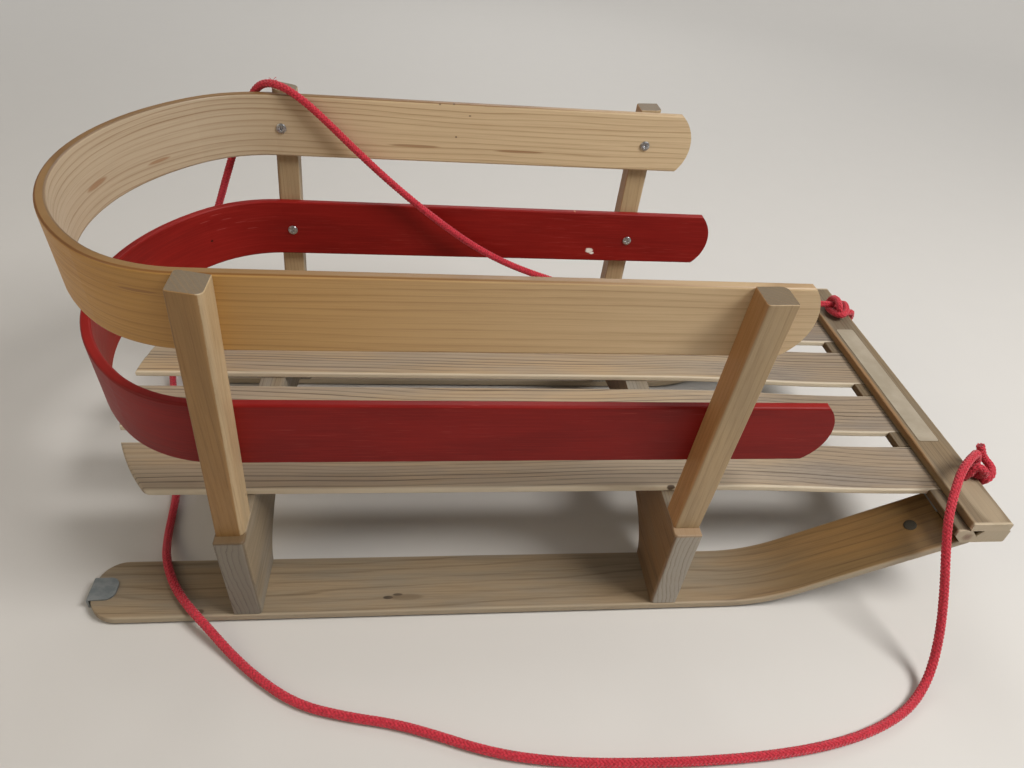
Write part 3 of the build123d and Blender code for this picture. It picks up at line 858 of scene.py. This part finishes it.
def make_knots(cover, core):
    right = [RIGHT_ARCH_MM, RIGHT_TURN_MM, hitch(-1) + RIGHT_TAIL_MM]
    left = [LEFT_END_MM, LEFT_LOOP_MM, hitch(1) + LEFT_HITCH_MM]
    pieces = []
    for name, routes in (("knot_right", right), ("knot_left", left)):
        knot = braided(f"{name}_rope", routes, cover, core)
        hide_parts(name)
        pieces += knot
    return pieces


def make_rope(cover, core):
    rope, *strands = braided("rope", [ROPE_ROUTE_MM], cover, core)
    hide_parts("rope")
    routes = [metres(route) for route in THREADS_MM]
    threads, _ = nurbs("rope_threads", routes, cover, THREAD_RADIUS)
    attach(threads, "root")
    make_knots(cover, core)


# Screws, bolts and the bare strip


# A screw head's mesh, its dome and the cross cut into it. SUNK is how deep heads and plates go
# into the wood, so that no gap shows.
HEAD_RINGS = 22
HEAD_SIDES = 48
DOME_REACH = 0.92
DOME_POWER = 2.6
CUT_HALF_WIDTH = 0.00058
CUT_DEPTH = 0.65
SUNK = 0.0002


def cross_cut(x, y, reach):
    """How deep a cross is cut at a place: 1 in its middle, and 0 outside it."""
    arm = max(abs(x), abs(y)) / reach
    off = min(abs(x), abs(y)) / CUT_HALF_WIDTH
    return max(0.0, 1 - arm ** 3) * max(0.0, 1 - off ** 4) if arm < 1 else 0.0


def screw_head(name, place, normal, material, radius=0.0044, height=0.0017, cross=0.0024):
    """A rounded screw head with a cross cut into it, and its rim sunk into the wood."""
    points = [(0.0, 0.0, height * (1 - CUT_DEPTH))]
    for ring in range(1, HEAD_RINGS + 1):
        out = ring / HEAD_RINGS
        dome = height * math.sqrt(1 - (DOME_REACH * out) ** DOME_POWER) if out < 1 else -SUNK
        for x, y in circle(out * radius, HEAD_SIDES):
            points.append((x, y, dome - cross_cut(x, y, cross) * height * CUT_DEPTH))
    faces = disc_faces(HEAD_RINGS, HEAD_SIDES)
    faces.append(tuple(reversed(range(len(points) - HEAD_SIDES, len(points)))))
    head = mesh_object(name, points, faces, material)
    turned = Vector(normal).to_track_quat("Z", "Y").to_matrix().to_4x4()
    head.matrix_world = Matrix.Translation(place) @ turned
    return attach(head, "root")


# Where the screws and bolts are: by the rails' heights and x, and by the skis' x and y.
SIDES = [("right", -1), ("left", 1)]
RAIL_HEIGHTS_MM = [("rail_upper", 269.5), ("rail_lower", 173.5)]
RAIL_SCREWS_X_MM = [("rear", -226.85), ("front", 99.35)]
SKI_BOLT_XY_MM = (298.0, 143.6)


def make_screws(material):
    for rail, height in RAIL_HEIGHTS_MM:
        for side, sign in SIDES:
            for end, x in RAIL_SCREWS_X_MM:
                place, normal = surface_point(rail, (x, 0, height), (0, sign, 0))
                screw_head(f"screw_{rail}_{end}_{side}", place, normal, material)


def make_bolts(material):
    x, y = SKI_BOLT_XY_MM
    for side, sign in SIDES:
        place, normal = surface_point(f"ski_{side}", (x, sign * y, 200), (0, 0, -1))
        screw_head(
            f"bolt_ski_{side}", place, normal, material, radius=0.005, height=0.0008, cross=0.0001,
        )


PLATE_CORNER_MM = 2
CORNER_STEPS = 4


def rounded_outline(x_low, x_high, y_low, y_high):
    """A rectangle with round corners, corner by corner."""
    r = PLATE_CORNER_MM
    outline = []
    for x, y, start in (
        (x_high - r, y_high - r, 0), (x_low + r, y_high - r, 90),
        (x_low + r, y_low + r, 180), (x_high - r, y_low + r, 270),
    ):
        for i in range(CORNER_STEPS + 1):
            turn = math.radians(start + i * 90 / CORNER_STEPS)
            outline.append((x + r * math.cos(turn), y + r * math.sin(turn)))
    return outline


def plate(name, sides_mm, height_mm, material):
    """A thin plate with round corners on the tow bar's top, a little sunk into it."""
    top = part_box("tow_bar")[1].z
    outline = rounded_outline(*sides_mm)
    count = len(outline)
    points = [(x * MM, y * MM, top - SUNK) for x, y in outline]
    points += [(x * MM, y * MM, top + height_mm * MM) for x, y in outline]
    faces = [tuple(range(count, 2 * count)), tuple(reversed(range(count)))]
    faces += [(i, (i + 1) % count, count + (i + 1) % count, count + i) for i in range(count)]
    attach(mesh_object(name, points, faces, material, smooth=False), "root")


def make_label(paper, rim):
    """A bare pale strip on top of the tow bar, and its dark rim."""
    plate("label_bare", (326.9, 345.4, -78.7, 89.7), 0.2, paper)
    plate("label_rim", (326.5, 345.8, -79.1, 90.1), 0.1, rim)


def dress(material, *names):
    """Gives CAD nodes this one material."""
    for name in names:
        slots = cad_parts[name].data.materials
        slots.clear()
        slots.append(material)


# The work


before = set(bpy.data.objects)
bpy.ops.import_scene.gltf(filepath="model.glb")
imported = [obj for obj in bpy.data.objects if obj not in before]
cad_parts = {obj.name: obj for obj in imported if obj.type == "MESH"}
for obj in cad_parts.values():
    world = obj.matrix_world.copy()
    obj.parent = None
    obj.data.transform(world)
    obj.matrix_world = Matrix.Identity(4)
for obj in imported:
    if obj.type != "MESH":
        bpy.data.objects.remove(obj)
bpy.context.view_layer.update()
bpy.context.scene.view_settings.view_transform = "Standard"

make_camera()
make_world()
make_floor()
for lamp in LIGHTS:
    make_light(*lamp)

cover = rope_red("rope_cover", colour(206, 42, 62), colour(168, 22, 40))
core = rope_red("rope_core", colour(140, 18, 30), colour(110, 12, 22))
dress(ski_wood(), "ski_right", "ski_left")
dress(bolster_wood(), "bolster_rear", "bolster_front")
dress(bar_wood(), "nose_bar")
dress(tow_wood(), "tow_bar")
dress(post_wood(), "post_rear_right", "post_rear_left", "post_front_right", "post_front_left")
dress(slat_wood(), "slat_1", "slat_2", "slat_3", "slat_4")
dress(pale_wood(), "rail_upper")
dress(red_paint(), "rail_lower")
dress(galvanised_steel(), "runner_right", "runner_left")
dress(cover, "knot_right", "knot_left")

make_rope(cover, core)
make_screws(bright_steel())
make_bolts(dark_steel())
make_label(label_paper(), rim_paint())
